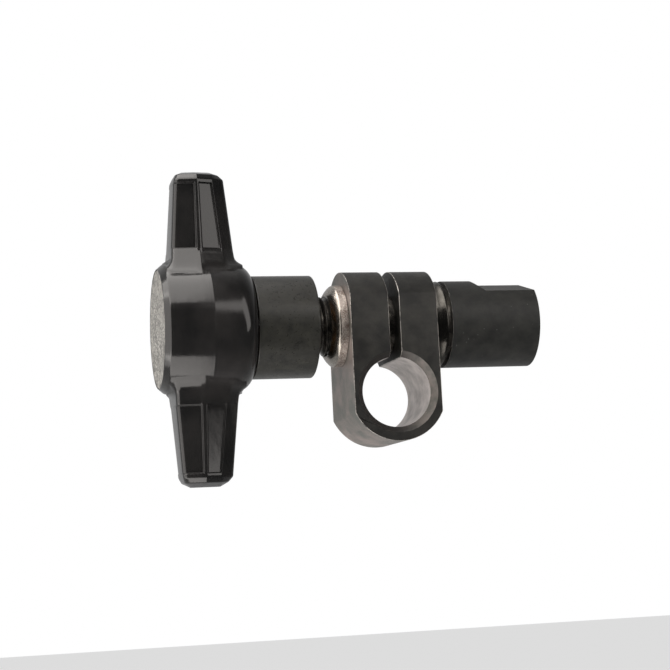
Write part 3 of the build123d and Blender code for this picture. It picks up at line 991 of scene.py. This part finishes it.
def repaint():
    """Give the CAD nodes that stay visible their own finish."""
    finishes = {
        "end_float_shim": THREAD, "stud_cross_pin": STEEL, "stud_stop_washer": STEEL,
        "stud_stop_screw": STEEL, "socket_thread_insert": STEEL, "knob_threaded_bush": BRASS,
        "knob_lock_nut": STEEL, "knob_lock_washer": STEEL, "knob_drive_pins": STEEL,
        "sleeve_thrust_ring": BRONZE, "sleeve_circlip": STEEL,
    }
    for name, material in finishes.items():
        node = NODES[name]
        node.data.materials.clear()
        node.data.materials.append(material)


# ---------------------------------------------------------------- camera, floor and lights

CAMERA_AZIMUTH = -13.62    # degrees, camera to the left of the front
CAMERA_ELEVATION = -7.51   # a little below the object
CAMERA_ROLL = 2.86
CAMERA_LENS = 85.5         # millimetres, on a sensor 36 mm wide
CAMERA_DISTANCE = 0.3779
CAMERA_AIM = Vector((-10.7, 3.7, 15.2)) * MM
FLOOR_Z = -400 * MM
FLOOR_REACH = 6.0          # half its width
KEY_COLOUR = (1.0, 0.96, 0.925)


def camera():
    azimuth, elevation = math.radians(CAMERA_AZIMUTH), math.radians(CAMERA_ELEVATION)
    back = Vector((math.sin(azimuth) * math.cos(elevation),
                   -math.cos(azimuth) * math.cos(elevation), math.sin(elevation)))
    data = bpy.data.cameras.new("camera")
    data.lens = CAMERA_LENS
    data.sensor_width = 36
    data.clip_start = 0.01
    holder = bpy.data.objects.new("camera", data)
    bpy.context.scene.collection.objects.link(holder)
    holder.rotation_mode = "QUATERNION"
    roll = Quaternion((0, 0, 1), math.radians(-CAMERA_ROLL))
    holder.rotation_quaternion = (-back).to_track_quat("-Z", "Y") @ roll
    holder.location = CAMERA_AIM + back * CAMERA_DISTANCE
    bpy.context.scene.camera = holder


def floor():
    """A wide pale floor, far below the object and out of its reflections."""
    bm = bmesh.new()
    bmesh.ops.create_grid(bm, x_segments=8, y_segments=8, size=FLOOR_REACH)
    mesh = bpy.data.meshes.new("studio_floor")
    bm.to_mesh(mesh)
    bm.free()
    plane = bpy.data.objects.new("studio_floor", mesh)
    plane.location.z = FLOOR_Z
    bpy.context.scene.collection.objects.link(plane)
    mesh.materials.append(studio_white("floor_paper", (0.92, 0.92, 0.92), 0.55))
    plane.visible_glossy = False


def softbox(name, place, aim, size, radiance, roll=0.0):
    """A soft rectangular light of the given radiance, hidden from the camera."""
    data = bpy.data.lights.new(name, "AREA")
    data.shape = "RECTANGLE"
    data.size, data.size_y = size
    data.energy = radiance * math.pi ** 2 * size[0] * size[1]
    data.color = KEY_COLOUR
    light = bpy.data.objects.new(name, data)
    light.location = place
    light.rotation_mode = "QUATERNION"
    turn = Quaternion((0, 0, 1), math.radians(roll))
    light.rotation_quaternion = (Vector(aim) - Vector(place)).to_track_quat("-Z", "Y") @ turn
    light.visible_camera = False
    bpy.context.scene.collection.objects.link(light)


def seen_at(azimuth, elevation, distance):
    """The point seen from the object at an azimuth and elevation in degrees."""
    azimuth, elevation = math.radians(azimuth), math.radians(elevation)
    return AXIS_POINT + distance * Vector((math.sin(azimuth) * math.cos(elevation),
                                           -math.cos(azimuth) * math.cos(elevation),
                                           math.sin(elevation)))


def lights():
    """Large top light, tall wall at the left, leaning strip at the right, small card below."""
    softbox("overhead", (-0.415, -0.24, 0.6), (-0.415, -0.239, 0), (0.92, 0.97), 1.0)
    softbox("left_wall", seen_at(-78, 0, 0.8), AXIS_POINT, (0.95, 1.3), 0.55)
    softbox("right_strip", seen_at(33, 17, 0.7), AXIS_POINT, (0.34, 0.74), 0.58, 30)
    softbox("low_card", (-0.305, -0.095, -0.3), (-0.305, -0.094, 0), (0.60, 0.25), 0.8)


def world():
    """White all round to the eye; as light, bright behind the object and dim in front of it."""
    sky = bpy.data.worlds.new("studio")
    bpy.context.scene.world = sky
    sky.use_nodes = True
    tree = sky.node_tree
    place = tree.nodes.new("ShaderNodeTexCoord")
    axes = tree.nodes.new("ShaderNodeSeparateXYZ")
    tree.links.new(place.outputs["Generated"], axes.inputs[0])
    ramp = tree.nodes.new("ShaderNodeMapRange")
    front, back = (-0.25, 0.035), (0.8, 0.46)    # direction along Y, and strength there
    for index, number in enumerate((front[0], back[0], front[1], back[1]), start=1):
        ramp.inputs[index].default_value = number
    tree.links.new(axes.outputs["Y"], ramp.inputs[0])
    glow = tree.nodes["Background"]
    tree.links.new(ramp.outputs[0], glow.inputs["Strength"])
    glow.inputs["Color"].default_value = (1, 1, 1, 1)
    plain = tree.nodes.new("ShaderNodeBackground")
    plain.inputs["Color"].default_value = (1, 1, 1, 1)
    rays = tree.nodes.new("ShaderNodeLightPath")
    mix = tree.nodes.new("ShaderNodeMixShader")
    tree.links.new(rays.outputs["Is Camera Ray"], mix.inputs[0])
    tree.links.new(glow.outputs[0], mix.inputs[1])
    tree.links.new(plain.outputs[0], mix.inputs[2])
    tree.links.new(mix.outputs[0], tree.nodes["World Output"].inputs["Surface"])
    bpy.context.scene.view_settings.view_transform = "Standard"


moulded_handle()
end_cap()
sleeve()
stud()
cone()
thrust_washer()
clamp()
end_socket()
repaint()
camera()
floor()
lights()
world()
